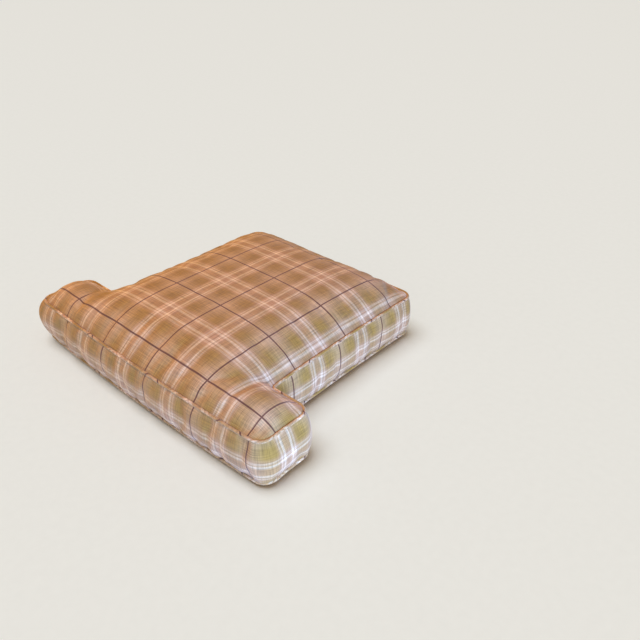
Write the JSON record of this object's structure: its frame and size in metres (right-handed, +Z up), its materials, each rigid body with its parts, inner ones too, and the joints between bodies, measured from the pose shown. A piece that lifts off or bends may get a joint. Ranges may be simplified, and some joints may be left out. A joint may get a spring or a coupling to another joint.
{
  "type": "armchair seat cushion",
  "caption": "Loose T-shaped armchair seat cushion: welted, boxed plaid cover with a rear zipper over a foam and fibre inner pad.",
  "frame": {"origin": "middle of the bounding box's underside, on the flat underside of the bottom panel", "axes": "+Z up, -Y towards the front edge with its two ears, +X to the right as seen from the front"},
  "size_m": [0.774, 0.6398, 0.168],
  "materials": {
    "plaid_fabric": "woven plaid, matte",
    "cotton_fabric": "plain woven, matte",
    "polyester_fibre": "fluffy",
    "polyurethane_foam": "open cells, matte",
    "filler_cord": "twisted",
    "zipper_tape": "twill woven",
    "zipper_nylon": "smooth",
    "zipper_metal": "antiqued"
  },
  "bodies": {
    "cushion": {"top_panel": "plaid_fabric", "bottom_panel": "plaid_fabric", "front_boxing": "plaid_fabric", "left_side_boxing": "plaid_fabric", "right_side_boxing": "plaid_fabric", "rear_boxing_upper": "plaid_fabric", "rear_boxing_lower": "plaid_fabric", "top_welt_cover": "plaid_fabric", "bottom_welt_cover": "plaid_fabric", "top_welt_filler_cord": "filler_cord", "bottom_welt_filler_cord": "filler_cord", "zipper_tape_upper": "zipper_tape", "zipper_tape_lower": "zipper_tape", "zipper_coil_upper": "zipper_nylon", "zipper_coil_lower": "zipper_nylon", "zipper_top_stop_upper": "zipper_metal", "zipper_top_stop_lower": "zipper_metal", "zipper_bottom_stop": "zipper_metal", "casing_top": "cotton_fabric", "casing_bottom": "cotton_fabric", "casing_band": "cotton_fabric", "fibre_pad_top": "polyester_fibre", "fibre_pad_bottom": "polyester_fibre", "fibre_band": "polyester_fibre", "foam_core": "polyurethane_foam"},
    "slider": {"zipper_slider": "zipper_metal"},
    "pull": {"zipper_pull": "zipper_metal"}
  },
  "joints": [
    {"name": "slider_travel", "type": "slide", "parent": "cushion", "child": "slider", "axis": [-1, 0, 0], "range_m": [0, 0.42]},
    {"name": "pull_hinge", "type": "hinge", "parent": "slider", "child": "pull", "pos_m": [0.21, 0.31778, 0.061], "axis": [0, 0, -1], "range_deg": [0, 180]}
  ]
}
